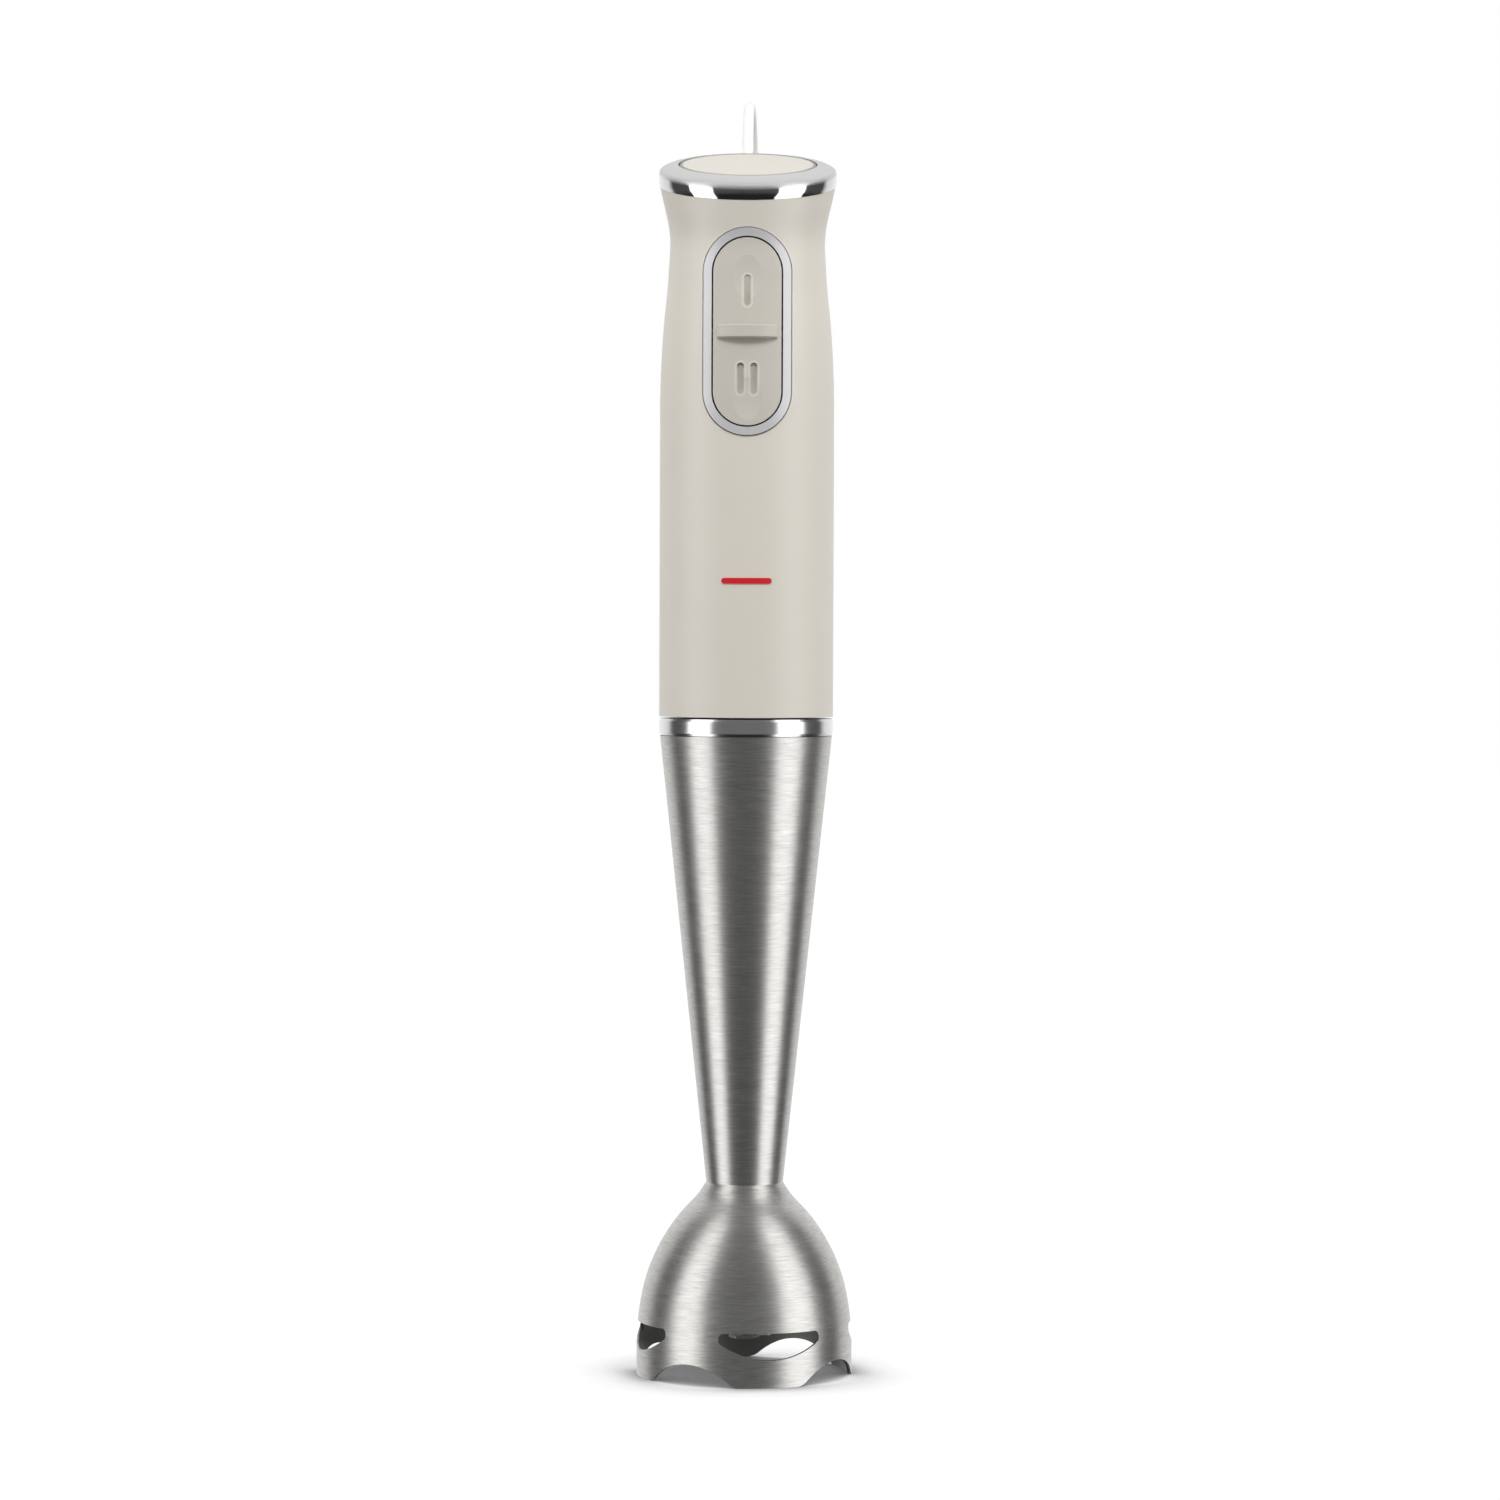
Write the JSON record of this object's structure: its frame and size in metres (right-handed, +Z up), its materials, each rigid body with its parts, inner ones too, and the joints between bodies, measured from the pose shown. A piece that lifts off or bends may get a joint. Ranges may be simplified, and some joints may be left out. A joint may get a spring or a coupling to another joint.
{
  "type": "immersion blender",
  "caption": "Handheld immersion blender with a rocker speed switch, a tapered steel leg that twists off, a slotted blade guard and a mains cord.",
  "frame": {"origin": "on the floor on the blender's axis, midway between the feet of the blade guard", "axes": "+Z up the leg towards the handle's top, -Y towards the user, where the speed rocker is"},
  "size_m": [0.0696, 0.2588, 0.4169],
  "materials": {
    "handle_plastic": "satin",
    "brushed_steel": "brushed round the axis",
    "bright_chrome": "mirror",
    "satin_silver": "satin",
    "dark_plastic": "satin",
    "seal_rubber": "matte",
    "blade_steel": "ground",
    "bright_steel": "turned",
    "lamination_steel": "stacked sheet",
    "copper_wire": "enamelled winding",
    "bronze": "sintered",
    "carbon": "pressed",
    "board_green": "lacquered",
    "white_plastic": "satin",
    "cord_white": "smooth"
  },
  "bodies": {
    "blending_leg": {"leg_tube": "brushed_steel", "blade_guard": "brushed_steel", "bearing_column": "bright_steel", "lower_bush": "bronze", "shaft_seal": "seal_rubber", "seal_cap": "bright_steel", "shaft_sleeve": "dark_plastic", "leg_collar": "dark_plastic", "upper_bush": "bronze", "joint_ring": "bright_chrome"},
    "drive": {"drive_shaft": "bright_steel", "shaft_clip": "bright_steel", "leg_dog": "white_plastic", "blade": "blade_steel", "blade_nut": "bright_steel"},
    "twist_ring": {"joint_gasket": "seal_rubber"},
    "motor_unit": {"motor_housing": "handle_plastic", "socket_insert": "dark_plastic", "cap_base": "dark_plastic", "cap_ring": "bright_chrome", "cap_disc": "handle_plastic", "switch_bezel": "satin_silver", "switch_frame": "dark_plastic", "rocker_pin": "bright_steel", "circuit_board": "board_green", "speed_switches": "dark_plastic", "capacitor": "white_plastic", "choke": "copper_wire", "diode": "dark_plastic", "lead_wires": "white_plastic", "lower_bracket": "bright_steel", "upper_bracket": "dark_plastic", "lower_bearing": "bright_steel", "upper_bearing": "bright_steel", "lower_damper": "seal_rubber", "upper_damper": "seal_rubber", "stator_core": "lamination_steel", "field_coils": "copper_wire", "motor_screws": "bright_steel", "brush_holders": "bronze", "carbon_brushes": "carbon", "brush_springs": "bright_steel", "cord_clamp": "dark_plastic", "clamp_screws": "bright_steel", "cord_boot": "cord_white", "cord_tube": "cord_white", "cord_hank": "cord_white", "cord_tie": "dark_plastic", "plug_body": "cord_white", "plug_pins": "bright_steel"},
    "rotor": {"motor_shaft": "bright_steel", "armature_core": "lamination_steel", "armature_windings": "copper_wire", "commutator": "copper_wire", "cooling_fan": "dark_plastic", "motor_dog": "white_plastic"},
    "rocker": {"rocker_switch": "handle_plastic"},
    "plunger_upper": {"plunger_1": "white_plastic"},
    "plunger_lower": {"plunger_2": "white_plastic"}
  },
  "joints": [
    {"name": "leg_twist", "type": "hinge", "parent": "blending_leg", "child": "twist_ring", "pos_m": [0, 0, 0.2065], "axis": [0, 0, 1], "range_deg": [0, 60]},
    {"name": "leg_release", "type": "slide", "parent": "twist_ring", "child": "motor_unit", "axis": [0, 0, 1], "range_m": [0, 0.012]},
    {"name": "motor_spin", "type": "hinge", "parent": "motor_unit", "child": "rotor", "pos_m": [0, 0, 0.266], "axis": [0, 0, 1], "continuous": true},
    {"name": "blade_spin", "type": "hinge", "parent": "blending_leg", "child": "drive", "pos_m": [0, 0, 0.013], "axis": [0, 0, 1], "continuous": true},
    {"name": "speed_rocker", "type": "hinge", "parent": "motor_unit", "child": "rocker", "pos_m": [0, -0.0215, 0.335], "axis": [1, 0, 0], "range_deg": [-4, 4], "stiffness_Nm_per_rad": 0.6},
    {"name": "plunger_upper_slide", "type": "slide", "parent": "motor_unit", "child": "plunger_upper", "axis": [0, 1, 0], "range_m": [-0.0014, 0.0014]},
    {"name": "plunger_lower_slide", "type": "slide", "parent": "motor_unit", "child": "plunger_lower", "axis": [0, 1, 0], "range_m": [-0.0014, 0.0014]}
  ],
  "couplings": [
    {"joint": "leg_release", "follows": "leg_twist", "m_per_rad": 0.011459},
    {"joint": "blade_spin", "follows": "motor_spin", "ratio": 1},
    {"joint": "plunger_upper_slide", "follows": "speed_rocker", "m_per_rad": -0.02},
    {"joint": "plunger_lower_slide", "follows": "speed_rocker", "m_per_rad": 0.02}
  ]
}
